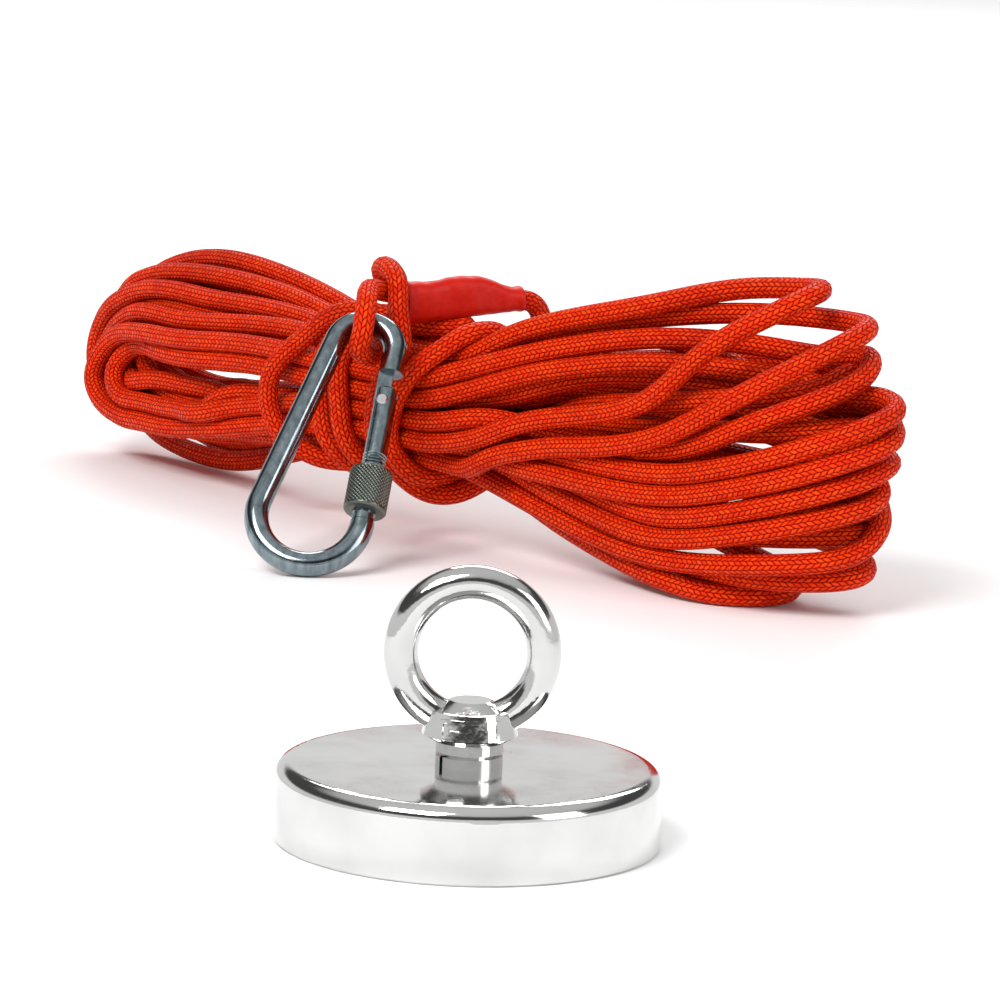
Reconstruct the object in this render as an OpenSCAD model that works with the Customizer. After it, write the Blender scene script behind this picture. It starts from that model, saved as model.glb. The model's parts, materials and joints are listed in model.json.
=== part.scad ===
// Fishing magnet kit: a round pot magnet with a screwed-in lifting eye, and a
// hank of braided rope whose sleeved eye carries a screw-lock snap hook.
// Millimetres, +Z up. The origin is the centre of the magnet's pulling face.

/* [Magnet] */
// Outside diameter of the steel pot
pot_d = 90; // [84:1:96]
// Height of the pot
pot_h = 18; // [16:0.5:22]
// Thickness of the pot's side wall
pot_wall = 6; // [4:0.5:8]
// Thickness of the pot's closed top
pot_top = 6.5; // [5:0.5:8]
// Rounding of the pot's upper rim
rim_r = 3.5; // [1:0.5:5]
// Diameter of the steel core that the eye bolt screws into
core_d = 22; // [18:1:26]
// Width of each ring of casting resin
resin_w = 2; // [1:0.5:3]

/* [Lifting eye] */
// Nominal thread diameter
thread_d = 10; // [8:1:12]
// Thread pitch
thread_pitch = 1.5; // [1:0.25:2]
// Outside diameter of the eye
eye_d = 41; // [38:1:44]
// Diameter of the bar that the eye is bent from
eye_bar_d = 8; // [7:0.5:9]
// Largest diameter of the collar under the eye
collar_d = 22.3; // [20:0.1:24]
// Height of the collar
collar_h = 7.4; // [6:0.1:9]
// Thickness of the split lock washer
washer_t = 2.4; // [2:0.1:3]
// Outside diameter of the washer and of the neck above it
washer_d = 15.6; // [14:0.1:17]

/* [Snap hook] */
// Diameter of the hook's bar
bar_d = 7.2; // [6.8:0.1:7.6]
// Centre-line radius of the narrow top bend
top_r = 9; // [8.5:0.1:9.5]
// Centre-line radius of the wide bottom bow
bow_r = 15.5; // [15:0.1:16]
// Distance from the top bend's centre down to the bow's centre
bow_drop = 57.8; // [56:0.1:60]
// Sideways offset of the bow's centre
bow_shift = -3.2; // [-4:0.1:-2]
// Lean of the hook away from upright
hook_lean = 37; // [35:1:39]
// Turn of the hook in its own plane
hook_tilt = 10.5; // [9:0.5:12]
// Diameter of the gate
gate_d = 7; // [6.8:0.1:7.2]
// Outside diameter of the knurled lock sleeve
sleeve_d = 12.8; // [12:0.1:13.4]
// Length of the knurled lock sleeve
sleeve_len = 13.8; // [12:0.1:15]

/* [Rope] */
// Diameter of the braided rope
rope_d = 6.3; // [5.5:0.1:6.5]
// Height of the bundle at the hank's waist
waist_h = 43; // [36:1:48]
// Depth of the bundle at the hank's waist
waist_depth = 36; // [24:1:44]
// Width of the band of turns round the waist
wrap_w = 54; // [40:1:60]
// Wall of the shrunk tube over the rope's two legs
shrink_wall = 0.6; // [0.4:0.1:1]

/* [Hidden] */

fine = 96;
gap = 0.05;                      // running clearance on each side
nickel = "gainsboro";
zinc = "lightsteelblue";
orange = "orangered";

// magnet
cavity_h = pot_h - pot_top;
cavity_d = pot_d - 2 * pot_wall;
ring_d = cavity_d - 2 * resin_w;
ring_bore = core_d + 2 * resin_w;
face_recess = 0.3;               // how far magnet and resin sit behind the rim

// lifting eye
groove_h = 0.8;
neck_h = 2.5;
collar_z = pot_h + washer_t + groove_h + neck_h;
collar_top_d = 19;
dome_h = 2;
eye_r = (eye_d - eye_bar_d) / 2;
eye_z = collar_z + eye_d / 2;
shank_end = 3.5;

// snap hook, drawn in its own XZ plane with the top of the bend at the origin
span = norm([bow_shift, bow_drop]);
taper = asin((bow_r - top_r) / span);
skew = atan(-bow_shift / bow_drop);
back_angle = taper + skew;       // back limb from upright
gate_angle = taper - skew;       // gate limb from upright
limb_len = sqrt(span * span - pow(bow_r - top_r, 2));
bow_low = (top_r + bow_drop) * cos(hook_tilt) + bow_shift * sin(hook_tilt) + bow_r;
hook_pos = [-35, 361, bow_low * cos(hook_lean) + bar_d / 2 + gap];
pin_down = 17.2;                 // hinge pin below the end of the top bend
pin_in = 0.8;                    // hinge pin inward of the gate's centre line
pin_r = 1.1;
shoulder_up = 10.2;              // bar's shoulder above the pin
gate_up = 4.7;                   // gate's upper end above the pin
gate_down = 39.4;                // gate's lower end below the pin
catch_up = 2.2;                  // top of the nose's catch inside the gate
catch_t = 1.1;
fork_w = 2.9;                    // slot between the gate's cheeks
tongue_w = 2.6;
thread_top = -17;
sleeve_low = 3 - gate_down;      // unlocked: just above the catch
spring_r = 1.0;

// rope: where each leg and each part of the hank goes
hank_pos = [-24, 398, 0];
hank_turn = -47;
waist_z = 40.5;
mouth_left = [-25, 385, 71];     // tube's mouth beside the hook
mouth_right = [8.5, 402, 74];    // tube's mouth over the hank
leg_gap = 2.85;                  // half the distance between the two legs
leg_r = 2.8;                     // a leg squeezed inside the tube

// the eye of the rope, from its cut end in the tube round the hook and back
eye_route = [[-4, 395.6, 75.8], [-12, 391.5, 75.1], [-25, 385, 73.9], [-31, 378.5, 75.3],
             [-34.5, 370.5, 77], [-36.2, 362.5, 77.7], [-36.6, 354.6, 74], [-37.2, 351.7, 67.5],
             [-38.2, 354.5, 61.5], [-36, 360, 58.3], [-33.5, 366, 58.6], [-31.5, 372, 62.5],
             [-29, 378.5, 66.6], [-25, 385, 68.1], [-13, 391.1, 69.2], [-8.5, 393.4, 69.6]];
// from the tube down behind the bundle into the hank
lead_route = [[-8.5, 393.4, 69.6], [1, 398.2, 70.5], [8.5, 402, 71.1], [13.5, 404.8, 69.5],
              [16, 406.3, 64], [15.5, 406, 57], [14.5, 403.5, 51], [13.6, 400.2, 46.5],
              [15.5, 395.2, 43.5]];

// ---- helpers -------------------------------------------------------------

function unit(v) = v / norm(v);
function at(list, i) = list[max(0, min(len(list) - 1, i))];

// point at fraction f between b and c on a smooth curve through a, b, c, d
function between(a, b, c, d, f) =
    0.5 * (2 * b + (c - a) * f + (2 * a - 5 * b + 4 * c - d) * f * f
           + (3 * b - a - 3 * c + d) * f * f * f);
function smooth(p, steps) =
    concat([for (i = [0 : len(p) - 2], k = [0 : steps - 1])
            between(at(p, i - 1), p[i], p[i + 1], at(p, i + 2), k / steps)],
           [p[len(p) - 1]]);

function heading(p, i) = unit(at(p, i + 1) - at(p, i - 1));
function square_to(n, t) = unit(n - (n * t) * t);
function side_vectors(p, start) =
    [for (i = 0, n = square_to(start, heading(p, 0)); i < len(p);
          i = i + 1, n = square_to(n, heading(p, min(i, len(p) - 1)))) n];

// round tube of radius r along the points p
module tube(p, r, sides) {
    s = side_vectors(p, [0.1, 0.3, 1]);
    ring_points = [for (i = [0 : len(p) - 1], k = [0 : sides - 1])
        p[i] + r * (cos(360 * k / sides) * s[i]
                    + sin(360 * k / sides) * cross(heading(p, i), s[i]))];
    walls = [for (i = [0 : len(p) - 2], k = [0 : sides - 1])
        [i * sides + k, (i + 1) * sides + k,
         (i + 1) * sides + (k + 1) % sides, i * sides + (k + 1) % sides]];
    first_cap = [for (k = [0 : sides - 1]) k];
    last_cap = [for (k = [sides - 1 : -1 : 0]) (len(p) - 1) * sides + k];
    polyhedron(ring_points, concat(walls, [first_cap, last_cap]), convexity = 8);
}

// round bar bent in the XZ plane; each end sleeves a hair over its straight neighbour
module bend(r, bar_r, from_angle, sweep) {
    bite = 1.5;
    swell = 0.02;
    rotate([90, 0, 0]) rotate([0, 0, from_angle - bite])
        rotate_extrude(angle = sweep + 2 * bite, $fn = fine)
            translate([r, 0]) circle(bar_r + swell, $fn = 48);
}

// ---- magnet --------------------------------------------------------------

module steel_pot() {
    color(nickel) difference() {
        rotate_extrude($fn = 180) {
            difference() {
                square([pot_d / 2, pot_h]);
                translate([pot_d / 2 - rim_r, pot_h - rim_r]) difference() {
                    square(rim_r + 1);
                    circle(rim_r, $fn = fine);
                }
                translate([pot_d / 2, 0]) rotate(45) square(0.8, center = true);
            }
        }
        translate([0, 0, -1]) cylinder(d = cavity_d, h = cavity_h + 1, $fn = fine);
        cylinder(r = thread_d / 2 + gap, h = pot_h + 1, $fn = fine);
    }
}

module pole_core() {
    color("silver") difference() {
        cylinder(d = core_d, h = cavity_h, $fn = fine);
        translate([0, 0, -1]) cylinder(r = thread_d / 2 + gap, h = pot_h, $fn = fine);
        translate([0, 0, -0.01])
            cylinder(d1 = thread_d + 2.2, d2 = thread_d - 0.4, h = 1.3, $fn = fine);
    }
}

// flat ring filling the pot between two diameters
module face_ring(outer, inner) {
    translate([0, 0, face_recess]) difference() {
        cylinder(d = outer - 2 * gap, h = cavity_h - face_recess, $fn = fine);
        translate([0, 0, -1]) cylinder(d = inner + 2 * gap, h = cavity_h + 2, $fn = fine);
    }
}

module neodymium_ring() { color("lightgray") face_ring(ring_d, ring_bore); }
module outer_resin() { color("dimgray") face_ring(cavity_d, ring_d); }
module inner_resin() { color("dimgray") face_ring(ring_bore, core_d); }

// ---- lifting eye ---------------------------------------------------------

module lock_washer() {
    split = 1.2;
    color("gray") translate([0, 0, pot_h]) difference() {
        cylinder(d = washer_d, h = washer_t, $fn = fine);
        translate([0, 0, -1]) cylinder(r = thread_d / 2 + 0.2, h = washer_t + 2, $fn = fine);
        rotate([0, 0, 215]) translate([0, -split / 2, -1]) cube([washer_d, split, washer_t + 2]);
    }
}

// screw thread drawn as rings: the profile of one side, top to bottom
function thread_profile(r, depth, z_top, z_end, pitch) =
    concat([[0, z_top], [r, z_top]],
           [for (z = [z_top - pitch : -pitch : z_end + pitch / 2], k = [0 : 2])
            [k == 1 ? r - depth : r, z + pitch * (0.4 - 0.35 * k)]],
           [[r, z_end + 1], [r - 1, z_end], [0, z_end]]);

module blank_badge() {
    badge_w = 14;
    badge_h = 5.6;
    rim_w = 0.7;
    offset_r = 1;
    translate([0, 0, collar_z + collar_h * 0.48]) rotate([90, 0, 0]) linear_extrude(collar_d) {
        difference() {
            offset(offset_r, $fn = 32) square([badge_w - 2, badge_h - 2], center = true);
            offset(offset_r, $fn = 32)
                square([badge_w - 2 - 2 * rim_w, badge_h - 2 - 2 * rim_w], center = true);
        }
        rotate(45) square(1.9, center = true);
        for (side = [-1, 1]) translate([side * 3.7, 0]) square([2.6, 0.9], center = true);
    }
}

module collar(grow) {
    lip = 1.6;
    translate([0, 0, collar_z]) {
        cylinder(d1 = washer_d + 1 + 2 * grow, d2 = collar_d + 2 * grow, h = lip, $fn = fine);
        translate([0, 0, lip])
            cylinder(d1 = collar_d + 2 * grow, d2 = collar_top_d + 2 * grow,
                     h = collar_h - lip, $fn = fine);
    }
}

module eyebolt() {
    relief = 0.3;
    color(nickel) union() {
        translate([0, 0, eye_z]) rotate([90, 0, 0])
            rotate_extrude($fn = 128) translate([eye_r, 0]) circle(d = eye_bar_d, $fn = 64);
        collar(0);
        translate([0, 0, collar_z + collar_h])
            cylinder(d1 = collar_top_d - 2, d2 = collar_top_d / 2, h = dome_h, $fn = fine);
        translate([0, 0, collar_z - neck_h])
            cylinder(d = washer_d, h = neck_h + 0.5, $fn = fine);
        translate([0, 0, pot_h + washer_t])
            cylinder(d = thread_d + 2, h = groove_h + 0.5, $fn = fine);
        rotate_extrude($fn = fine)
            polygon(thread_profile(thread_d / 2, 0.7, pot_h + washer_t + 0.5, shank_end,
                                   thread_pitch));
        intersection() {
            collar(relief);
            blank_badge();
        }
    }
}

// ---- snap hook -----------------------------------------------------------

// puts the hook's own plane where the hook lies
module on_hook() { translate(hook_pos) rotate([-hook_lean, 0, 0]) rotate([0, hook_tilt, 0]) children(); }

// frame of the gate limb: origin at the hinge pin's height, +Z up the limb
module on_gate_limb() {
    translate([0, 0, -top_r])
        rotate([0, -gate_angle, 0]) translate([top_r, 0, -pin_down]) children();
}

module carabiner_body() {
    nose_up = limb_len - pin_down - gate_down - 0.2;
    color(zinc) on_hook() difference() {
        union() {
            // narrow top bend, back limb and wide bow
            translate([0, 0, -top_r])
                bend(top_r, bar_d / 2, gate_angle, 180 - gate_angle - back_angle);
            translate([0, 0, -top_r]) rotate([0, back_angle, 0])
                translate([-top_r, 0, -limb_len]) cylinder(d = bar_d, h = limb_len, $fn = 48);
            translate([bow_shift, 0, -top_r - bow_drop])
                bend(bow_r, bar_d / 2, 180 - back_angle, 180 + back_angle + gate_angle);
            on_gate_limb() {
                // end of the bar, its flat tongue and the hinge eye
                translate([0, 0, shoulder_up])
                    cylinder(d = bar_d, h = pin_down - shoulder_up, $fn = 48);
                intersection() {
                    cylinder(d = bar_d, h = shoulder_up + 1, $fn = 48);
                    translate([-bar_d / 2, -tongue_w / 2, -1])
                        cube([bar_d / 2 + 1, tongue_w, shoulder_up + 2]);
                }
                translate([-pin_in, tongue_w / 2, 0]) rotate([90, 0, 0])
                    cylinder(r = 2.7, h = tongue_w, $fn = 48);
                // nose and its T-shaped catch
                translate([0, 0, -gate_down - 0.2 - nose_up])
                    cylinder(d = bar_d, h = nose_up, $fn = 48);
                translate([-2.6, -1.1, -gate_down - 0.4]) cube([5.2, 2.2, catch_up]);
                translate([-2.6, -2, catch_up - catch_t - gate_down])
                    cube([5.2, 4, catch_t]);
            }
        }
        on_gate_limb() translate([-pin_in, 5, 0]) rotate([90, 0, 0])
            cylinder(r = pin_r + gap, h = 10, $fn = 48);
    }
}

module gate() {
    r = gate_d / 2;
    thread_depth = 0.35;
    pitch = 1;
    color(zinc) on_hook() on_gate_limb() difference() {
        rotate_extrude($fn = fine) polygon(concat(
            [[0, gate_up], [r - 0.7, gate_up], [r, gate_up - 0.7], [r, thread_top]],
            [for (z = [thread_top - pitch : -pitch : sleeve_low + pitch], k = [0 : 2])
             [k == 1 ? r - thread_depth : r, z + pitch * (0.4 - 0.35 * k)]],
            [[r, -gate_down], [0, -gate_down]]));
        // fork for the tongue, open at the top and along the outer side
        translate([-bar_d, -fork_w / 2, -3.8]) cube([2 * bar_d, fork_w, gate_up + 5]);
        translate([0.6, -fork_w / 2, -11]) cube([bar_d, fork_w, 12]);
        // spring hole
        translate([-pin_in, 0, -13]) cylinder(r = spring_r + 0.35, h = 12, $fn = 32);
        // rivet hole through both cheeks
        translate([-pin_in, 5, 0]) rotate([90, 0, 0]) cylinder(r = pin_r, h = 10, $fn = 48);
        // T-shaped slot for the catch
        translate([-bar_d, -1.35, -gate_down - 1]) cube([2 * bar_d, 2.7, catch_up + 1]);
        translate([-bar_d, -2.3, catch_up - catch_t - 0.3 - gate_down])
            cube([2 * bar_d, 4.6, catch_t + 0.6]);
    }
}

module gate_rivet() {
    head_t = 0.5;
    reach = gate_d / 2 + head_t;
    color("silver") on_hook() on_gate_limb() translate([-pin_in, 0, 0]) rotate([90, 0, 0]) {
        translate([0, 0, -reach]) cylinder(r = pin_r, h = 2 * reach, $fn = 48);
        for (end = [0, 1]) mirror([0, 0, end]) translate([0, 0, reach - head_t])
            cylinder(r1 = pin_r + 0.7, r2 = pin_r + 0.2, h = head_t, $fn = 48);
    }
}

module gate_spring() {
    turns = 8;
    steps = 10;
    low = -12.6;
    high = -5.4;
    coil = [for (i = [0 : turns * steps])
            [spring_r * cos(360 * i / steps), spring_r * sin(360 * i / steps),
             low + (high - low) * i / (turns * steps)]];
    color("silver") on_hook() on_gate_limb() translate([-pin_in, 0, 0]) tube(coil, 0.2, 6);
}

module gate_plunger() {
    color("silver") on_hook() on_gate_limb() translate([-pin_in, 0, -5.1]) {
        cylinder(r = spring_r + 0.25, h = 1.2, $fn = 32);
        cylinder(r = 0.8, h = 2.2, $fn = 32);
    }
}

module lock_sleeve() {
    r = sleeve_d / 2;
    chamfer = 0.7;
    color("darkgray") on_hook() on_gate_limb() translate([0, 0, sleeve_low])
        rotate_extrude($fn = fine) polygon([
            [gate_d / 2 + gap, 0], [r - chamfer, 0], [r, chamfer],
            [r, sleeve_len - chamfer], [r - chamfer, sleeve_len],
            [gate_d / 2 + gap, sleeve_len]]);
}

// ---- rope ----------------------------------------------------------------

module on_hank() { translate(hank_pos) rotate([0, 0, hank_turn]) children(); }

module rope_eye() { color(orange) tube(smooth(eye_route, 3), leg_r, 12); }
module rope_lead() { color(orange) tube(smooth(lead_route, 3), leg_r, 12); }

// two-legged tube wall: outline of the pair of legs, grown by w
module leg_pair(w) {
    for (side = [-1, 1]) translate([0, side * leg_gap]) circle(leg_r + w, $fn = 48);
    square([2 * (leg_r + w), 2 * leg_gap], center = true);
}

module shrink_tube() {
    run = mouth_right - mouth_left;
    flat = norm([run[0], run[1]]);
    color("crimson") translate(mouth_left) rotate([0, 0, atan2(run[1], run[0])])
        rotate([0, -atan2(run[2], flat), 0]) rotate([90, 0, 90])
            linear_extrude(norm(run)) difference() {
                leg_pair(shrink_wall + gap);
                leg_pair(gap);
            }
}

// upright rounded slab in the hank: along s, back y, from z0 to z1, half depth r
module slab(s, y, z0, z1, r) {
    for (z = [z0 + r, z1 - r]) translate([s, y, z]) sphere(r, $fn = 24);
}
module waist_disc(s) {
    translate([s, 0, waist_z]) rotate([0, 90, 0]) linear_extrude(0.1)
        scale([waist_h / 2, waist_depth / 2]) circle(1, $fn = 32);
}

module rope_hank() {
    edge = wrap_w / 2 + 1;
    color(orange) on_hank() {
        hull() { waist_disc(-edge); slab(-100, 6, 4, 76, 19); slab(-170, 16, 0, 60, 15); }
        hull() { waist_disc(-edge); waist_disc(edge); }
        hull() { waist_disc(edge); slab(105, 5, 4, 86, 21); slab(165, 14, 0, 92, 23); }
    }
}

module rope_wraps() {
    color(orange) on_hank() translate([-wrap_w / 2, 0, waist_z]) rotate([0, 90, 0])
        linear_extrude(wrap_w) difference() {
            scale([waist_h / 2 + rope_d, waist_depth / 2 + rope_d]) circle(1, $fn = 40);
            scale([waist_h / 2 + gap, waist_depth / 2 + gap]) circle(1, $fn = 32);
        }
}

// sealed far end of the rope, standing out of the band at the back
module rope_tip() {
    tip_len = 8;
    color("firebrick") on_hank() translate([wrap_w / 2, waist_depth / 2 + 0.8 * rope_d - 1, waist_z - 10])
        rotate([0, 90, 0]) {
            cylinder(r = rope_d / 2, h = tip_len - 2, $fn = 32);
            translate([0, 0, tip_len - 2]) cylinder(r1 = rope_d / 2, r2 = 1.6, h = 2, $fn = 32);
        }
}

steel_pot();
pole_core();
neodymium_ring();
outer_resin();
inner_resin();
lock_washer();
eyebolt();
carabiner_body();
gate();
gate_rivet();
gate_spring();
gate_plunger();
lock_sleeve();
rope_eye();
shrink_tube();
rope_lead();
rope_hank();
rope_wraps();
rope_tip();
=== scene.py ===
"""Fishing magnet with its eyebolt and a hank of braided rope that carries a screw-lock snap hook."""
import json
import math

import bpy
import numpy as np
from mathutils import Matrix, Vector


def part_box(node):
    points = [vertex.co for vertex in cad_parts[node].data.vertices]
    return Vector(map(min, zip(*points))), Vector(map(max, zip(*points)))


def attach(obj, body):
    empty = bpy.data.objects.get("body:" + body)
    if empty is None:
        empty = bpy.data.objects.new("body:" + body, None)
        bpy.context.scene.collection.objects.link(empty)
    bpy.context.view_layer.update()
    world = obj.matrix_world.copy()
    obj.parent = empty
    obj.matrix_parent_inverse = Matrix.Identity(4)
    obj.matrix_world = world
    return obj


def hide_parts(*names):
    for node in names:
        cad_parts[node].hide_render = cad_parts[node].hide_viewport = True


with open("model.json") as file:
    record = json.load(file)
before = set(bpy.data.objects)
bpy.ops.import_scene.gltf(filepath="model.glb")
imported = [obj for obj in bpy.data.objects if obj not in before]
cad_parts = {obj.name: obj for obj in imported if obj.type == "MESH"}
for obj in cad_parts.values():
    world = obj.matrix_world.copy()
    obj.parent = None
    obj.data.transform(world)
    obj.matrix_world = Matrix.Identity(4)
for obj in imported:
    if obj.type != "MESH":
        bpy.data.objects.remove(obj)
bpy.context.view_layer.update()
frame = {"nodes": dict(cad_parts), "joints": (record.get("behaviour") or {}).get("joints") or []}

MM = 0.001

# ---- camera ----------------------------------------------------------------

CAMERA_PLACE = (0.0051, -1.1678, 0.2870)
CAMERA_DOWN = math.radians(10.05)
CAMERA_ROLL = math.radians(2.0)
CAMERA_LENS = 186.6


def make_camera():
    """A long lens looking along +Y, pitched down and rolled a little."""
    data = bpy.data.cameras.new("camera")
    data.lens = CAMERA_LENS
    data.clip_end = 20
    camera = bpy.data.objects.new("camera", data)
    bpy.context.scene.collection.objects.link(camera)
    turn = Matrix.Rotation(math.pi / 2 - CAMERA_DOWN, 4, "X") @ Matrix.Rotation(CAMERA_ROLL, 4, "Z")
    camera.matrix_world = Matrix.Translation(CAMERA_PLACE) @ turn
    bpy.context.scene.camera = camera
    bpy.context.scene.view_settings.view_transform = "Standard"


make_camera()

# ---- lines and surfaces ----------------------------------------------------


def lengths(path):
    """Length run from the path's first point to each of its points."""
    return np.concatenate([[0], np.cumsum(np.linalg.norm(np.diff(path, axis=0), axis=1))])


def evenly(path, step):
    """The same path with its points moved to equal steps of its own length."""
    run = lengths(path)
    marks = np.linspace(0, run[-1], max(2, int(round(run[-1] / step)) + 1))
    return np.stack([np.interp(marks, run, path[:, i]) for i in range(3)], 1)


def smooth_line(points, step, steps=16):
    """Catmull-Rom curve through the points: each span is the cubic whose end slopes are half the
    difference of the neighbouring points. It is then laid off at equal steps."""
    p = np.asarray(points, float)
    p = np.vstack([2 * p[0] - p[1], p, 2 * p[-1] - p[-2]])
    t = np.linspace(0, 1, steps, endpoint=False)[:, None]
    a, b, c, d = (p[i : len(p) - 3 + i][:, None, :] for i in range(4))
    spans = 0.5 * (
        2 * b + (c - a) * t + (2 * a - 5 * b + 4 * c - d) * t**2 + (3 * b - a - 3 * c + d) * t**3
    )
    return evenly(np.vstack([spans.reshape(-1, 3), p[-2]]), step)


def eased(path, rounds):
    """Each inner point becomes a quarter, a half and a quarter of itself and its neighbours."""
    p = path.copy()
    for _ in range(rounds):
        p[1:-1] = 0.25 * p[:-2] + 0.5 * p[1:-1] + 0.25 * p[2:]
    return p


def headings(path):
    """Unit direction of the path at each point, from its neighbours."""
    t = np.gradient(path, axis=0)
    return t / np.linalg.norm(t, axis=1)[:, None]


def side_vectors(path):
    """A vector square to the path at each point, carried along it without twist: each one is the
    last one with its part along the new direction taken out."""
    t = headings(path)
    n = np.cross(t[0], [0.3, 0.1, 1.0])
    sides = np.empty_like(path)
    for i in range(len(path)):
        n = n - (n @ t[i]) * t[i]
        n = n / np.linalg.norm(n)
        sides[i] = n
    return sides


def grid_mesh(name, points, uv=None, close_around=True, cap=False):
    """Quads over a grid of points (rows, around, 3), joined around each row. The UV map takes one
    more column than the points, so that it doesn't fold back at the join."""
    rows, around = points.shape[:2]
    columns = around if close_around else around - 1
    i, k = np.meshgrid(np.arange(rows - 1), np.arange(columns), indexing="ij")
    k1 = (k + 1) % around
    quads = np.stack([i * around + k, i * around + k1, (i + 1) * around + k1, (i + 1) * around + k], -1)
    faces = quads.reshape(-1, 4)
    verts = points.reshape(-1, 3)
    mesh = bpy.data.meshes.new(name)
    face_list = faces.tolist()
    if cap:
        face_list.append(list(range(around))[::-1])
        face_list.append([(rows - 1) * around + c for c in range(around)])
    mesh.from_pydata(verts.tolist(), [], face_list)
    if uv is not None:
        corner = np.stack(
            [uv[i, k], uv[i, k + 1], uv[i + 1, k + 1], uv[i + 1, k]], axis=2
        ).reshape(-1, 2)
        layer = mesh.uv_layers.new(name="along")
        flat = np.zeros(len(mesh.loops) * 2, np.float32)
        flat[: corner.size] = corner.ravel()
        layer.data.foreach_set("uv", flat)
    mesh.shade_smooth()
    mesh.validate()
    obj = bpy.data.objects.new(name, mesh)
    bpy.context.scene.collection.objects.link(obj)
    return obj


def rope_mesh(name, path, radii, sides):
    """Round rope: at each path point, a ring of the given radius square to the path. U runs once
    around, and V is the length along in metres."""
    t = headings(path)
    n = side_vectors(path)
    b = np.cross(t, n)
    angle = np.linspace(0, 2 * math.pi, sides, endpoint=False)
    ring = np.cos(angle)[None, :, None] * n[:, None, :] + np.sin(angle)[None, :, None] * b[:, None, :]
    points = path[:, None, :] + np.asarray(radii).reshape(-1, 1, 1) * ring
    around, along = np.meshgrid(np.linspace(0, 1, sides + 1), lengths(path))
    return grid_mesh(name, points, np.stack([around, along], -1), cap=True)


# ---- rope: where it runs ---------------------------------------------------

ROPE_D = 0.0063
HANK_AT = np.array([-0.024, 0.398, 0.0])
HANK_TURN = math.radians(-47)
WAIST_Z = 0.0405
WAIST_H = 0.043
WAIST_DEPTH = 0.036
WRAP_W = 0.054
TIP_LEN = 0.008

# shrink tube: its two mouths, beside the hook and over the hank
TUBE_LEFT = np.array([-0.025, 0.385, 0.071])
TUBE_RIGHT = np.array([0.0085, 0.402, 0.074])

# the eye of the rope, from its cut end in the tube round the hook and back
EYE_ROUTE = np.array([
    [-0.004, 0.3956, 0.0758], [-0.012, 0.3915, 0.0751], [-0.025, 0.385, 0.0739],
    [-0.031, 0.3785, 0.0753], [-0.0345, 0.3705, 0.077], [-0.0362, 0.3625, 0.0777],
    [-0.0366, 0.3546, 0.074], [-0.0372, 0.3517, 0.0675], [-0.0382, 0.3545, 0.0615],
    [-0.036, 0.36, 0.0583], [-0.0335, 0.366, 0.0586], [-0.0315, 0.372, 0.0625],
    [-0.029, 0.3785, 0.0666], [-0.025, 0.385, 0.0681], [-0.013, 0.3911, 0.0692],
    [-0.0085, 0.3934, 0.0696],
])
# from the tube down behind the bundle into the hank
LEAD_ROUTE = np.array([
    [-0.0085, 0.3934, 0.0696], [0.001, 0.3982, 0.0705], [0.0085, 0.402, 0.0711],
    [0.0135, 0.4048, 0.0695], [0.016, 0.4063, 0.064], [0.0155, 0.406, 0.057],
    [0.0145, 0.4035, 0.051], [0.0136, 0.4002, 0.0465], [0.0155, 0.3952, 0.0435],
])

# One row for each turn, in the order it was wound, in millimetres in the hank's own frame: along
# the hank, back from its front, and up.
# Right end: the fold's reach, depth and height, the leg that runs out to it (depth, height), the
# leg that comes back (depth, height), and the two legs' places in the waist (column, row).
RIGHT_FOLDS = [
    (183, 14, 19, 16, 70, -11, 11, (3, 5), (2, 0)),
    (177, 15, 83, 8, 79, -15, 45, (2, 5), (1, 0)),
    (161, 12, 93, 2, 83, -15, 56, (1, 5), (0, 1)),
    (177, 14, 68, 0, 73, -9, 41, (0, 4), (0, 2)),
    (190, 14, 60, -4, 66, -13, 35, (0, 3), (1, 2)),
    (190, 14, 52, 2, 61, -13, 29, (1, 3), (1, 1)),
    (187, 14, 43, 6, 56, -12, 23, (1, 4), (2, 2)),
    (186, 14, 34, 11, 50, -12, 17, (2, 3), (2, 1)),
    (176, 18, 55, 14, 60, -5, 48, (2, 4), (3, 1)),
    (177, 20, 48, 19, 54, -6, 38, (3, 4), (3, 2)),
    (175, 20, 39, 21, 46, -6, 32, (3, 3), (4, 1)),
    (176, 20, 30, 24, 38, -5, 26, (4, 4), (4, 2)),
    (179, 20, 24, 25, 30, -5, 20, (4, 3), (5, 1)),
    (172, 20, 66, 19, 65, -7, 56, (5, 4), (5, 2)),
    (178, 18, 11, 24, 20, -3, 8, (5, 3), (4, 0)),
    (156, 11, 3, 24, 12, -9, 5, (4, 5), (3, 0)),
]
# Left end: the fold's reach and height, and the heights of the legs above and below it.
LEFT_FOLDS = [
    (174, 31, 58, 17), (162, 31, 50, 18), (161, 27, 44, 18), (147, 30, 42, 22),
    (142, 34, 43, 25), (152, 33, 43, 27), (150, 36, 46, 28), (161, 35, 52, 22),
    (166, 36, 57, 20), (154, 36, 50, 27), (164, 38, 60, 20), (147, 38, 53, 28),
    (158, 30, 66, 8), (149, 38, 60, 22), (168, 26, 70, 4), (174, 29, 65, 14),
]
# Wraps round the waist, left to right: where each one stands along the hank at the top, the front's
# upper corner, the front, its lower corner, the bottom and the back, and how loose it is.
WRAPS = [
    (9, -28, -44, -36, -18, -16, 2),
    (-18, -17, -16, -13, -9, -9, 1),
    (-11, -9, -7, -4, 1, 1, 1),
    (-2, 14, 9, 11, 20, 27, 1),
    (42, 27, 15, 14, 19, 25, 1),
]
# The wrap at this place in the list comes up the back, crosses over both legs of the eye and drops
# down the front.
CROSSING_WRAP = 3
OVER_EYE = [(-14, 8, 70), (-9, -6, 77), (2, -14, 84), (13, -20, 82), (19, -25, 72)]


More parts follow.
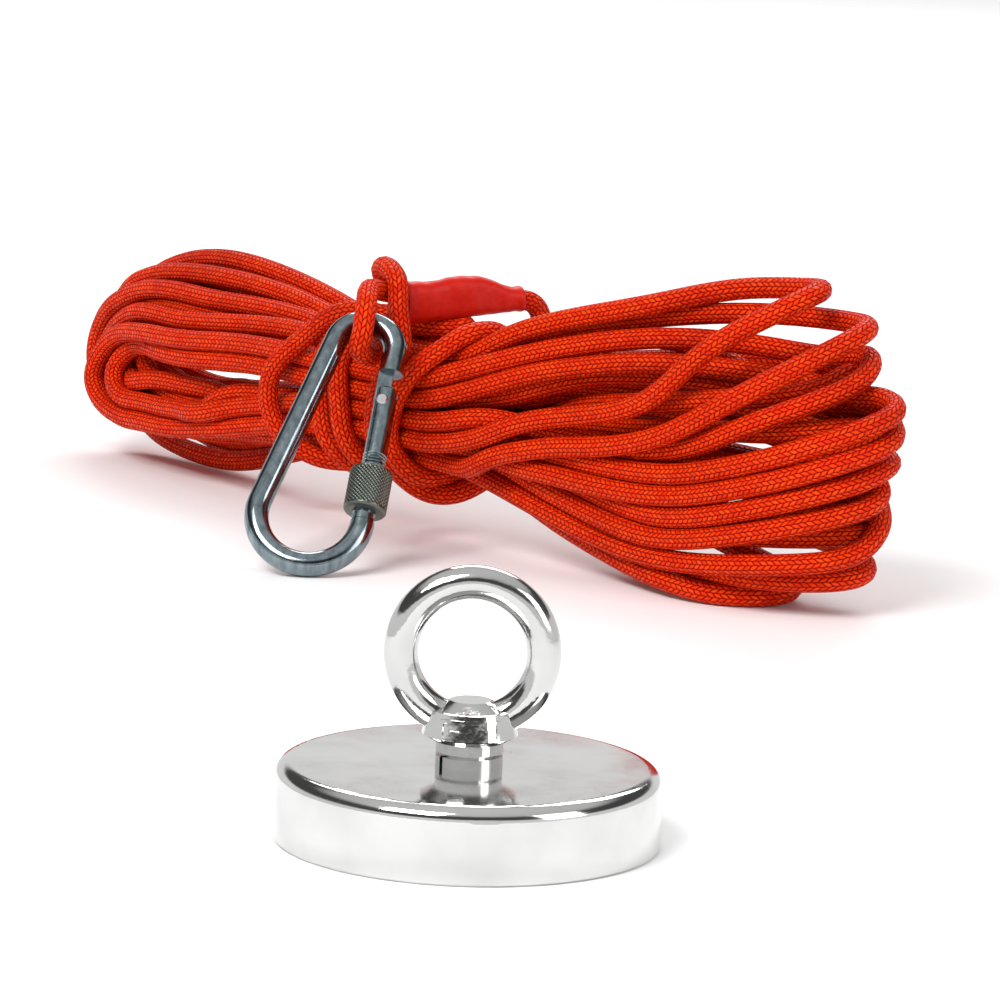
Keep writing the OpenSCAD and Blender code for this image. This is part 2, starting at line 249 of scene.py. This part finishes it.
def in_hank(path):
    """Points of the row frame, seen in the hank's own frame."""
    c, s = math.cos(HANK_TURN), math.sin(HANK_TURN)
    d = np.asarray(path, float) - HANK_AT
    return np.stack([c * d[:, 0] + s * d[:, 1], c * d[:, 1] - s * d[:, 0], d[:, 2]], 1)


def from_hank(path):
    """Points of the hank's own frame, put back in the row frame."""
    c, s = math.cos(HANK_TURN), math.sin(HANK_TURN)
    p = np.asarray(path, float)
    return HANK_AT + np.stack([c * p[:, 0] - s * p[:, 1], s * p[:, 0] + c * p[:, 1], p[:, 2]], 1)


def waist_place(slot, along):
    """One strand's place in the waist, in mm: columns run front to back, and rows upwards."""
    column, row = slot
    return (along, (column - 2.5) * 6.1, WAIST_Z / MM + (row - 2.5) * 6.35)


def mixed(a, b, share):
    """a where share is 0, b where it is 1."""
    return a + (b - a) * share


def right_fold(fold):
    """One turn's run out of the waist to the right, round its fold and back, in mm."""
    reach, depth, height, out_y, out_z, in_y, in_z, out_slot, in_slot = fold
    _, slot_y, slot_z = waist_place(out_slot, 0)
    _, back_y, back_z = waist_place(in_slot, 0)
    return [
        (62, mixed(slot_y, out_y, 0.5), mixed(slot_z, out_z, 0.55)),
        (108, out_y, out_z),
        (reach - 36, mixed(out_y, depth + 12, 0.6), mixed(out_z, height, 0.4) + 2),
        (reach - 12, depth + 12.5, mixed(out_z, height, 0.7)),
        (reach, depth, height),
        (reach - 8, depth - 13, mixed(height, in_z, 0.22)),
        (reach - 26, mixed(depth - 19, in_y, 0.5) - 2, mixed(height, in_z, 0.55)),
        (120, in_y, in_z),
        (72, mixed(back_y, in_y, 0.6), mixed(back_z, in_z, 0.55)),
        waist_place(in_slot, 26),
        waist_place(in_slot, -18),
    ]


def left_fold(fold, slot):
    """One turn's run out of the waist to the left, round its fold and back above, in mm."""
    reach, height, top_z, low_z = fold
    column, row = slot
    _, slot_y, slot_z = waist_place(slot, 0)
    _, _, back_z = waist_place((column, 5 - row), 0)
    middle_y = 5.8 * column - 9
    end_y = 5.0 * column + 3
    return [
        (-60, mixed(slot_y, middle_y, 0.5), mixed(slot_z, low_z, 0.5)),
        (-100, middle_y, low_z),
        (22 - reach, mixed(middle_y, end_y, 0.6), mixed(low_z, height - 12, 0.25)),
        (5 - reach, end_y, height - 9),
        (-reach, end_y + 1, height),
        (6 - reach, end_y + 1, height + 9),
        (26 - reach, mixed(middle_y, end_y, 0.6), mixed(top_z, height + 14, 0.3)),
        (-104, middle_y, top_z),
        (-58, mixed(slot_y, middle_y, 0.5), mixed(back_z, top_z, 0.55) + 2),
    ]


def hank_turns():
    """All turns of the hank, end to end, in mm."""
    points = []
    for number, (right, left) in enumerate(zip(RIGHT_FOLDS, LEFT_FOLDS)):
        if number > 0:
            points += [waist_place(right[-2], -14), waist_place(right[-2], 22)]
        points += right_fold(right) + left_fold(left, right[-1])
    return points


def waist_wraps():
    """The wraps round the waist, over the top, down the front and up the back, in mm. Each point lies
    on the waist's ellipse, grown by half a rope and the wrap's looseness."""
    points = []
    for number, (top, upper, front, lower, bottom, back, loose) in enumerate(WRAPS):
        half_y = WAIST_DEPTH / MM / 2 + 4 + 0.4 * loose
        half_z = WAIST_H / MM / 2 + 0.8 + loose
        around = [(90, top), (140, upper), (180, front), (220, lower), (270, bottom),
                  (320, 0.6 * bottom + 0.4 * back), (360, back), (400, back)]
        if number == CROSSING_WRAP:
            points += OVER_EYE
            around = around[2:]
        if number == len(WRAPS) - 1:
            around = around[:-2]  # the rope ends before it goes up the back
        for angle, along in around:
            a = math.radians(angle)
            points.append((along, half_y * math.cos(a), WAIST_Z / MM + half_z * math.sin(a)))
    return points


def close_pairs(x, reach, apart):
    """Pairs of beads that are nearer than reach and more than so many beads apart along the rope."""
    c = (x - x.mean(0)).astype(np.float32)
    squares = (c * c).sum(1)
    found = []
    for start in range(0, len(c), 1024):
        block = slice(start, start + 1024)
        between = squares[block, None] + squares[None, :] - 2 * c[block] @ c.T
        i, j = np.nonzero(between < reach * reach)
        i = i + start
        keep = j > i + apart
        found.append(np.stack([i[keep], j[keep]]))
    return np.concatenate(found, 1)


def settle(x, held, rounds, hold):
    """Beads along the rope are pushed apart until none is nearer than one rope's thickness to
    another strand. A weak pull keeps each near its laid place and fades out, stiffness evens out the
    bends, and the floor stops the beads from below. Lengths in mm."""
    diameter = ROPE_D / MM
    laid = x.copy()
    free = np.where(held, 0.0, 1.0)[:, None]
    apart = int(math.ceil(2.2 * diameter / np.linalg.norm(x[1] - x[0])))
    for turn in range(rounds):
        if turn % 8 == 0:
            i, j = close_pairs(x, diameter + 2.5, apart)
        gap = x[j] - x[i]
        distance = np.linalg.norm(gap, axis=1) + 1e-9
        overlap = np.clip(diameter - distance, 0, None)
        move = gap * (0.5 * overlap / distance)[:, None]
        push = np.stack(
            [np.bincount(j, moved, len(x)) - np.bincount(i, moved, len(x)) for moved in move.T], 1
        )
        hit = overlap > 0
        touching = np.bincount(i[hit], minlength=len(x)) + np.bincount(j[hit], minlength=len(x))
        x = x + free * push / np.maximum(1, 0.5 * touching)[:, None]
        x = x + free * hold * (1 - turn / rounds) * (laid - x)
        sag = np.zeros_like(x)
        sag[1:-1] = 0.5 * (x[:-2] + x[2:]) - x[1:-1]
        stiff = sag.copy()
        stiff[1:-1] -= 0.5 * (sag[:-2] + sag[2:])
        x = x + free * (0.3 * stiff + 0.04 * sag)
        x[:, 2] = np.maximum(x[:, 2], diameter / 2)
    return x


def rope_route():
    """The whole rope from its cut end in the tube to its sealed tip, in metres. The eye and its
    lead are held, but for their last 20 mm; the rest is eased and settled."""
    eye = in_hank(np.vstack([EYE_ROUTE, LEAD_ROUTE[1:]])) / MM
    into_hank = [(37, 24.5, 43), (48, 21, 47)]
    tip = (WRAP_W / MM / 2, WAIST_DEPTH / MM / 2 + 3.8, WAIST_Z / MM - 10)
    out_of_waist = [waist_place((3, 5), -22), (2, 11, 61), (15, 14, 65), (20, 7, 68)]
    points = [tuple(p) for p in eye] + into_hank + hank_turns()
    points += out_of_waist + waist_wraps() + [tip]
    line = smooth_line(points, 3.0)
    eye_length = lengths(smooth_line(eye, 1.0))[-1]
    let_go = 20
    held = lengths(line) < eye_length - let_go
    held[-3:] = True
    loose = eased(line, 12)
    line = np.where(held[:, None], line, loose)
    line = settle(line, held, 300, 0.03)
    return from_hank(line * MM)


# ---- materials -------------------------------------------------------------


class Value:
    """A shader socket. Arithmetic on it adds Math nodes."""

    def __init__(self, nodes, socket):
        self.nodes = nodes
        self.socket = socket

    def math(self, operation, *others, **settings):
        inputs = {0: self}
        inputs.update({i + 1: other for i, other in enumerate(others)})
        return self.nodes.add("ShaderNodeMath", {"operation": operation, **settings}, inputs)

    def __add__(self, other):
        return self.math("ADD", other)

    def __radd__(self, other):
        return self.math("ADD", other)

    def __sub__(self, other):
        return self.math("SUBTRACT", other)

    def __rsub__(self, other):
        return self.nodes.add("ShaderNodeMath", {"operation": "SUBTRACT"}, {0: other, 1: self})

    def __mul__(self, other):
        return self.math("MULTIPLY", other)

    def __rmul__(self, other):
        return self.math("MULTIPLY", other)

    def __truediv__(self, other):
        return self.math("DIVIDE", other)

    def __pow__(self, other):
        return self.math("POWER", other)


class Nodes:
    """Node tree of one new material, with its principled shader."""

    def __init__(self, name, **constants):
        self.material = bpy.data.materials.new(name)
        self.material.use_nodes = True
        self.tree = self.material.node_tree
        self.shader = next(n for n in self.tree.nodes if n.type == "BSDF_PRINCIPLED")
        for socket, value in constants.items():
            self.shader.inputs[socket.replace("_", " ")].default_value = value

    def add(self, kind, settings=None, inputs=None, output=0):
        """A node of this type: its settings first, then its sockets' values or links."""
        node = self.tree.nodes.new(kind)
        for key, value in (settings or {}).items():
            setattr(node, key, value)
        for key, value in (inputs or {}).items():
            self.feed(node.inputs[key], value)
        return Value(self, node.outputs[output])

    def feed(self, socket, value):
        """Links a Value to a socket, or sets the socket to a number or a colour."""
        if isinstance(value, Value):
            self.tree.links.new(value.socket, socket)
        else:
            socket.default_value = value

    def set(self, **links):
        """Feeds the shader's sockets."""
        for socket, value in links.items():
            self.feed(self.shader.inputs[socket.replace("_", " ")], value)
        return self.material

    def place(self, scale=(1, 1, 1), turn=(0, 0, 0)):
        """Object coordinates in metres, turned and scaled."""
        coords = self.add("ShaderNodeTexCoord", output="Object")
        return self.add(
            "ShaderNodeMapping",
            None,
            {"Vector": coords, "Rotation": turn, "Scale": scale},
        )

    def noise(self, vector, scale, detail=3.0, rough=0.55):
        """Cloudy noise from 0 to 1."""
        return self.add(
            "ShaderNodeTexNoise",
            None,
            {"Vector": vector, "Scale": scale, "Detail": detail, "Roughness": rough},
        )

    def blend(self, share, a, b):
        """Colour a where share is 0 and colour b where it is 1."""
        node = self.tree.nodes.new("ShaderNodeMix")
        node.data_type = "RGBA"
        self.feed(node.inputs[0], share)
        self.feed(node.inputs[6], a if isinstance(a, Value) else (*a, 1))
        self.feed(node.inputs[7], b if isinstance(b, Value) else (*b, 1))
        return Value(self, node.outputs[2])

    def between(self, value, low, high, to_low=0.0, to_high=1.0):
        """The value's place between low and high, clamped, as a number between the last two."""
        return self.add(
            "ShaderNodeMapRange",
            None,
            {"Value": value, "From Min": low, "From Max": high, "To Min": to_low, "To Max": to_high},
        )

    def bump(self, height, depth, strength=1.0, onto=None):
        """Surface bump of the given depth in metres where height goes from 0 to 1."""
        inputs = {"Height": height, "Distance": depth, "Strength": strength}
        if onto is not None:
            inputs["Normal"] = onto
        return self.add("ShaderNodeBump", None, inputs)


def braid_pattern(m, columns, stitch, lean=0.6):
    """Herringbone of a braided cover, from the piece's UV map: columns of stitches run along the rope
    and lean left and right by turns. Returns each stitch's height, 0 in the grooves and 1 on top, and
    a number that differs from stitch to stitch."""
    uv = m.add("ShaderNodeUVMap", {"uv_map": "along"})
    split = m.tree.nodes.new("ShaderNodeSeparateXYZ")
    m.feed(split.inputs[0], uv)
    around = Value(m, split.outputs[0]) * columns
    along = Value(m, split.outputs[1]) / stitch
    column = around.math("FLOOR")
    across = around - column
    side = column.math("MODULO", 2.0) * 2.0 - 1.0
    run = along + side * (across - 0.5) * lean + 0.25 * side
    number = run.math("FLOOR")
    place = run - number
    ridge = (place * (1.0 - place) * 4.0) ** 0.45
    crown = (across * (1.0 - across) * 4.0) ** 0.35
    seed = m.add(
        "ShaderNodeCombineXYZ", None, {0: column * 0.37, 1: number * 0.73, 2: 0.0}
    )
    tone = m.add("ShaderNodeTexWhiteNoise", {"noise_dimensions": "3D"}, {"Vector": seed})
    return ridge * crown, tone


def rope_material(name, groove_shade_and_dirt, body, crown):
    """Braided polyester: raised stitches with painted shade in the grooves and a painted highlight
    on the stitch crowns, each stitch a little lighter or darker, fine filaments, and soft dirt along
    the length."""
    m = Nodes(name, Specular_IOR_Level=0.08)
    height, tone = braid_pattern(m, 14.0, 0.0019)
    patches = m.noise(m.place(), 22.0, 3.0)
    lit = m.between(height, 0.1, 0.75)
    # painted shade: the grooves between the stitches are coloured dark
    colour = m.blend(lit, groove_shade_and_dirt, body)
    # painted highlight: the stitch crowns turn a brighter orange, more on some stitches than on others
    colour = m.blend(m.between(height, 0.5, 0.95) * m.between(tone, -0.3, 1.0), colour, crown)
    # soft dirt: darker patches in the same colour as the painted groove shade
    colour = m.blend(m.between(patches, 0.45, 0.75, 0.0, 0.35), colour, groove_shade_and_dirt)
    filaments = m.noise(m.place(), 2600.0, 2.0)
    normal = m.bump(height, 0.00055, 1.0, m.bump(filaments, 0.00008, 0.5))
    rough = m.between(tone + height * 0.6, 0.2, 1.5, 0.62, 0.42)
    return m.set(Base_Color=colour, Roughness=rough, Normal=normal)


def shrink_material():
    """Glossy red heat-shrink: the braid below shows faintly, with stretch marks along the tube."""
    m = Nodes("red_shrink", Specular_IOR_Level=0.15, Coat_Roughness=0.2)
    below = m.noise(m.place((1, 1, 1.4), (0, 0, 0.47)), 420.0, 2.0)
    marks = m.noise(m.place((25, 25, 160), (0, 0, 0.47)), 6.0, 4.0)
    colour = m.blend(m.between(below, 0.35, 0.7), (0.50, 0.008, 0.003), (0.58, 0.013, 0.004))
    normal = m.bump(below, 0.00008, 0.5, m.bump(marks, 0.0001, 0.5))
    rough = m.between(marks, 0.3, 0.7, 0.34, 0.5)
    return m.set(Base_Color=colour, Roughness=rough, Normal=normal, Coat_Weight=0.03)


def bright_plate(name, tint, soft, cast, scratch):
    """Bright metal plating: a tint, cloudy differences in polish, fine scratches, and the slow waves
    of the metal below. cast is the depth of the waves, soft the roughness."""
    m = Nodes(name, Metallic=1.0)
    cloud = m.noise(m.place(), 45.0, 4.0)
    waves = m.noise(m.place(), 170.0, 3.0)
    lines = m.noise(m.place((3, 140, 60), (0.3, 0.2, 0.4)), 9.0, 3.0)
    pits = m.add("ShaderNodeTexVoronoi", {"feature": "F1"}, {"Vector": m.place(), "Scale": 900.0})
    pit = m.between(pits, 0.05, 0.16) * m.between(cloud, 0.5, 0.62) + m.between(cloud, 0.62, 0.5)
    darker = tuple(c * 0.78 for c in tint)
    colour = m.blend(m.between(cloud, 0.38, 0.66, 0.0, 0.5), tint, darker)
    rough = m.between(cloud, 0.35, 0.7, soft, soft * 2.4) + m.between(lines, 0.6, 0.75, 0.0, scratch)
    normal = m.bump(waves, cast, 1.0, m.bump(lines, 0.00001, 0.25 + scratch))
    normal = m.bump(pit.math("MINIMUM", 1.0), 0.00004, 0.35, normal)
    return m.set(Base_Color=colour, Roughness=rough, Normal=normal)


def zinc_material():
    """Bright blue-white zinc on drawn wire: lengthwise lines from the drawing, coloured darker as
    painted dark reflection streaks, and passivated clouds in the roughness, coloured lighter as painted
    highlight.
    """
    m = Nodes("zinc_plate", Metallic=1.0)
    gate_run = next(j for j in frame["joints"] if j["name"] == "sleeve_travel")["axis"]
    run = Vector(gate_run).to_track_quat("Z", "Y").inverted().to_euler()
    wire_lines_and_painted_streaks = m.noise(m.place((420, 420, 7), tuple(run)), 1.0, 3.0)
    cloud = m.noise(m.place(), 60.0, 4.0)
    # painted reflection: the lengthwise wire lines are coloured much darker, as dark reflected streaks
    colour = m.blend(m.between(wire_lines_and_painted_streaks, 0.35, 0.7), (0.29, 0.35, 0.38), (0.15, 0.19, 0.21))
    # painted highlight: the clouds turn the colour lighter
    colour = m.blend(m.between(cloud, 0.55, 0.75, 0.0, 0.3), colour, (0.40, 0.47, 0.49))
    rough = m.between(cloud, 0.35, 0.7, 0.10, 0.22)
    normal = m.bump(wire_lines_and_painted_streaks, 0.00003, 0.3, m.bump(cloud, 0.0002, 0.35))
    return m.set(Base_Color=colour, Roughness=rough, Normal=normal)


def knurl_material():
    """Knurled zinc: bright crests, grooves coloured near black as painted shade, and greenish grey
    clouds.
    """
    m = Nodes("knurled_steel", Metallic=1.0)
    cloud = m.noise(m.place(), 300.0, 4.0)
    depth = m.add("ShaderNodeAttribute", {"attribute_name": "crest"}, output="Fac")
    # painted shade: by groove depth, the grooves are coloured near black and the crests lighter
    colour = m.blend(m.between(depth, 0.2, 0.9), (0.012, 0.015, 0.012), (0.20, 0.22, 0.19))
    colour = m.blend(m.between(cloud, 0.5, 0.75, 0.0, 0.4), colour, (0.12, 0.14, 0.11))
    normal = m.bump(cloud, 0.00006, 0.6)
    return m.set(Base_Color=colour, Roughness=m.between(depth, 0.0, 1.0, 0.5, 0.24), Normal=normal)


def magnet_material():
    """Nickel-plated ring magnet seen at the pulling face: satin with scuffs from dragging."""
    m = Nodes("magnet_alloy", Metallic=1.0)
    scuffs = m.noise(m.place((30, 260, 30), (0, 0, 0.6)), 5.0, 5.0)
    cloud = m.noise(m.place(), 80.0, 4.0)
    colour = m.blend(m.between(cloud, 0.4, 0.7), (0.50, 0.49, 0.47), (0.36, 0.36, 0.36))
    rough = m.between(scuffs, 0.4, 0.7, 0.25, 0.45)
    return m.set(Base_Color=colour, Roughness=rough, Normal=m.bump(scuffs, 0.00003, 0.5))


def resin_material():
    """Dark casting resin, poured and levelled, with a few pin bubbles and a satin skin."""
    m = Nodes("casting_resin", Specular_IOR_Level=0.5)
    cloud = m.noise(m.place(), 120.0, 4.0)
    cells = m.add("ShaderNodeTexVoronoi", {"feature": "F1"}, {"Vector": m.place(), "Scale": 420.0})
    bubble = m.between(cells, 0.08, 0.2)
    colour = m.blend(m.between(cloud, 0.4, 0.7), (0.012, 0.012, 0.014), (0.03, 0.03, 0.032))
    normal = m.bump(bubble, 0.0001, 0.6, m.bump(cloud, 0.0002, 0.4))
    return m.set(Base_Color=colour, Roughness=m.between(cloud, 0.3, 0.7, 0.25, 0.4), Normal=normal)


def melted_material():
    """Rope end sealed with heat: hard, glossy and dark, with runs and small bubbles."""
    m = Nodes("melted_braid", Specular_IOR_Level=0.5)
    runs = m.noise(m.place(), 500.0, 4.0)
    colour = m.blend(m.between(runs, 0.4, 0.65), (0.34, 0.018, 0.006), (0.07, 0.008, 0.004))
    rough = m.between(runs, 0.3, 0.7, 0.2, 0.45)
    return m.set(Base_Color=colour, Roughness=rough, Normal=m.bump(runs, 0.0004, 0.8))


# ---- pieces ----------------------------------------------------------------


def dress(name, material):
    """Puts a material on a CAD node, in every slot it has."""
    obj = frame["nodes"][name]
    if not obj.material_slots:
        obj.data.materials.append(material)
    for slot in obj.material_slots:
        slot.material = material


def add_piece(obj, material, slot, body, *nodes):
    """Gives a new piece its material, ties it to its body, and lets it stand for nodes. slot is not
    used.
    """
    obj.data.materials.append(material)
    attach(obj, body)
    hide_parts(*nodes)
    return obj


def sealed_tip(end, direction):
    """Melted end of the rope: rings square to its axis whose radius follows a lumpy dome, the root
    of one less the square of the run, over a short straight stretch."""
    axis = direction / np.linalg.norm(direction)
    side = np.cross(axis, [0, 0, 1])
    side /= np.linalg.norm(side)
    up = np.cross(axis, side)
    t = np.linspace(-0.15, 0.995, 28)
    a = np.linspace(0, 2 * math.pi, 24, endpoint=False)
    tt, aa = np.meshgrid(t, a, indexing="ij")
    radius = 0.5 * ROPE_D * 1.02 * np.sqrt(1 - np.clip((tt - 0.5) / 0.5, 0, 1) ** 2)
    radius = radius * (1 + 0.05 * np.sin(3 * aa + 5 * tt) + 0.03 * np.sin(7 * aa - 9 * tt))
    points = end + (
        (tt * TIP_LEN)[..., None] * axis
        + (radius * np.cos(aa))[..., None] * side
        + (radius * np.sin(aa))[..., None] * up
    )
    return grid_mesh("sealed_tip", points, cap=True)


def shrink_sleeve():
    """Heat-shrink tube round the two legs of the eye: each section is an upright stadium, carried from
    mouth to mouth; past the tail's end it closes down on the one leg that goes on. Slow sines along
    and around make it wavy, and both mouths curl out. The wall runs out along the outer face and
    back along the inner one."""
    left = TUBE_LEFT
    right = TUBE_RIGHT
    leg_gap = 0.00285
    leg_r = 0.0028
    wall = 0.0006
    axis = (right - left) / np.linalg.norm(right - left)
    side = np.cross(axis, [0, 0, 1])
    side /= np.linalg.norm(side)
    up = np.cross(side, axis)
    along = np.linspace(-0.02, 1.02, 60)
    t = np.concatenate([along, along[::-1]])
    outer = np.repeat([1.0, 0.0], 60)
    a = np.linspace(0, 2 * math.pi, 72, endpoint=False)
    tt, aa = np.meshgrid(t, a, indexing="ij")
    face = outer[:, None] * np.ones_like(aa)
    mouth = np.exp(-((tt - 1) / 0.03) ** 2) + np.exp(-(tt / 0.03) ** 2)
    wave = 0.0003 * np.sin(15 * tt + 1.3 * np.sin(aa)) * (0.5 + 0.5 * np.sin(aa))
    wave = wave + 0.00005 * np.sin(47 * tt + 2 * aa) + 0.0003 * mouth
    radius = leg_r + 0.0001 + wall * face + wave
    pinch = 0.00025 * np.cos(aa) ** 8 * (1 - mouth)
    across = (radius - pinch) * np.cos(aa)
    closing = 0.5 - 0.5 * np.cos(math.pi * np.clip((tt - 0.6) / 0.36, 0, 1))
    gap = leg_gap * (1 - 0.9 * closing)
    height = radius * np.sin(aa) + gap * np.tanh(2.5 * np.sin(aa)) / math.tanh(2.5) - (leg_gap - gap)
    run = np.linalg.norm(right - left)
    points = (
        left
        + (tt * run)[..., None] * axis
        + across[..., None] * side
        + height[..., None] * up
    )
    points = np.concatenate([points, points[:1]])
    return grid_mesh("shrink_sleeve", points[:, ::-1])


def squeezed(path):
    """The rope's radius at each point: thinner where the tube holds it, running out over 2 mm."""
    run_out = 0.002
    reach = 0.0075
    thinner = 0.00055
    run = np.linalg.norm(TUBE_RIGHT - TUBE_LEFT)
    along = (path - TUBE_LEFT) @ (TUBE_RIGHT - TUBE_LEFT) / run
    off = np.linalg.norm(path - TUBE_LEFT - along[:, None] * (TUBE_RIGHT - TUBE_LEFT) / run, axis=1)
    inside = np.clip(along / run_out + 1, 0, 1) * np.clip((run - along) / run_out + 1, 0, 1)
    inside = inside * (off < reach)
    return ROPE_D / 2 - thinner * inside


def knurled_sleeve():
    """Lock sleeve: a ring whose section runs up the outside, over the rounded top, down the bore and
    back. Two families of helical grooves cross on the outside, one cut deeper; each groove's depth
    is the sixth power of a sine, and fades out towards the plain chamfered ends."""
    low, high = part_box("lock_sleeve")
    centre = np.array((low + high) / 2)
    axis = np.array(next(j for j in frame["joints"] if j["name"] == "sleeve_travel")["axis"])
    side = np.cross(axis, [1, 0, 0])
    side /= np.linalg.norm(side)
    front = np.cross(axis, side)
    outer, bore, length, chamfer = 0.0064, 0.00356, 0.0138, 0.0008
    body = np.linspace(chamfer, length - chamfer, 90)
    section = np.concatenate([
        [(bore, 0.0), (outer - 1.3 * chamfer, 0.0), (outer - 0.5 * chamfer, 0.35 * chamfer)],
        np.stack([np.full(90, outer), body], 1),
        [(outer - 0.5 * chamfer, length - 0.35 * chamfer), (outer - 1.3 * chamfer, length),
         (bore, length), (bore, 0.5 * length), (bore, 0.0)],
    ])
    a = np.linspace(0, 2 * math.pi, 240, endpoint=False)
    h, aa = np.meshgrid(section[:, 1], a, indexing="ij")
    radius = section[:, :1] * np.ones_like(aa)
    fade = np.clip((h - chamfer) / 0.0006, 0, 1) * np.clip((length - chamfer - h) / 0.0006, 0, 1)
    on_face = (radius > outer - 1e-6) * fade
    steep = np.abs(np.cos(0.5 * (30 * aa + h / outer * 34))) ** 6
    cross = np.abs(np.cos(0.5 * (30 * aa - h / outer * 34))) ** 6
    groove = np.maximum(steep, 0.55 * cross)
    radius = radius - 0.00038 * groove * on_face
    points = centre + (
        (radius * np.cos(aa))[..., None] * side
        + (radius * np.sin(aa))[..., None] * front
        + (h - length / 2)[..., None] * axis
    )
    obj = grid_mesh("knurled_sleeve", points[::-1])
    crest = np.where(on_face > 0, 1 - groove, 0.7)[::-1]
    layer = obj.data.attributes.new("crest", "FLOAT", "POINT")
    layer.data.foreach_set("value", crest.ravel().astype(np.float32))
    return obj


# ---- the rope --------------------------------------------------------------

route = rope_route()
path = smooth_line(route, 0.0013, 3)
# braid colours: painted groove shade (also used for the dirt), the rope's own orange, and a painted
# highlight for the stitch crowns
braid = rope_material("orange_braid", (0.16, 0.0005, 0.0), (0.70, 0.012, 0.0005), (1.0, 0.075, 0.003))
melted = melted_material()

rope = rope_mesh("braided_rope", path, squeezed(path), 12)
add_piece(rope, braid, "orange_braid", "rope", "rope_eye", "rope_lead", "rope_hank", "rope_wraps")
tip = add_piece(sealed_tip(path[-1], path[-1] - path[-4]), melted, "melted_braid", "rope", "rope_tip")
sleeve = add_piece(shrink_sleeve(), shrink_material(), "red_shrink", "rope", "shrink_tube")

# ---- the rest --------------------------------------------------------------

add_piece(knurled_sleeve(), knurl_material(), "knurled_steel", "hook_sleeve", "lock_sleeve")

dress("steel_pot", bright_plate("nickel_plate", (0.72, 0.72, 0.71), 0.06, 0.00001, 0.03))
dress("pole_core", bright_plate("nickel_core", (0.70, 0.69, 0.67), 0.12, 0.00002, 0.05))
dress("eyebolt", bright_plate("nickel_cast", (0.66, 0.66, 0.65), 0.07, 0.00012, 0.04))
dress("lock_washer", bright_plate("washer_steel", (0.58, 0.58, 0.58), 0.14, 0.00003, 0.05))
dress("neodymium_ring", magnet_material())
dress("outer_resin", resin_material())
dress("inner_resin", frame["nodes"]["outer_resin"].material_slots[0].material)
zinc = zinc_material()
for name in ("carabiner_body", "gate"):
    dress(name, zinc)
spring_steel = bright_plate("spring_steel", (0.50, 0.50, 0.51), 0.16, 0.00002, 0.05)
for name in ("gate_rivet", "gate_spring", "gate_plunger"):
    dress(name, spring_steel)

# ---- stage -----------------------------------------------------------------


def make_floor():
    """Wide pale floor."""
    bpy.ops.mesh.primitive_plane_add(size=12)
    floor = bpy.context.object
    floor.name = "floor"
    m = Nodes("floor_paper", Specular_IOR_Level=0.0, Roughness=0.9)
    floor.data.materials.append(m.set(Base_Color=(0.93, 0.93, 0.93, 1)))


def soft_light(name, place, target, size, power):
    """Square soft box at a place, facing a target."""
    data = bpy.data.lights.new(name, "AREA")
    data.shape = "RECTANGLE"
    data.size, data.size_y = size
    data.energy = power
    light = bpy.data.objects.new(name, data)
    bpy.context.scene.collection.objects.link(light)
    aim = (Vector(target) - Vector(place)).to_track_quat("-Z", "Y")
    light.matrix_world = Matrix.Translation(place) @ aim.to_matrix().to_4x4()


def make_sky():
    """Studio surround, from the floor's level up: white walls, a dark band that bright metal shows as
    a dark line, and a white ceiling. The grey follows the direction's height."""
    world = bpy.data.worlds.new("studio")
    world.use_nodes = True
    tree = world.node_tree
    background = next(n for n in tree.nodes if n.type == "BACKGROUND")
    coords = tree.nodes.new("ShaderNodeTexCoord")
    split = tree.nodes.new("ShaderNodeSeparateXYZ")
    ramp = tree.nodes.new("ShaderNodeValToRGB")
    tree.links.new(coords.outputs["Generated"], split.inputs[0])
    tree.links.new(split.outputs["Z"], ramp.inputs[0])
    tree.links.new(ramp.outputs[0], background.inputs[0])
    # height, grey
    stops = [(0.25, 0.82), (0.32, 0.07), (0.6, 0.07), (0.74, 0.6), (1.0, 0.7)]
    for _ in range(3):
        ramp.color_ramp.elements.new(0.5)
    for number, (place, grey) in enumerate(stops):
        ramp.color_ramp.elements[number].position = place
        ramp.color_ramp.elements[number].color = (grey, grey, grey, 1)
    background.inputs[1].default_value = 1.0
    bpy.context.scene.world = world


make_floor()
make_sky()
soft_light("key", (-0.9, -1.1, 1.7), (0, 0.25, 0), (1.2, 0.9), 42)
soft_light("fill", (1.6, -0.9, 0.9), (0, 0.25, 0.05), (0.9, 1.2), 14)
soft_light("back", (0.2, 2.2, 1.6), (0, 0.3, 0.05), (1.6, 0.8), 30)
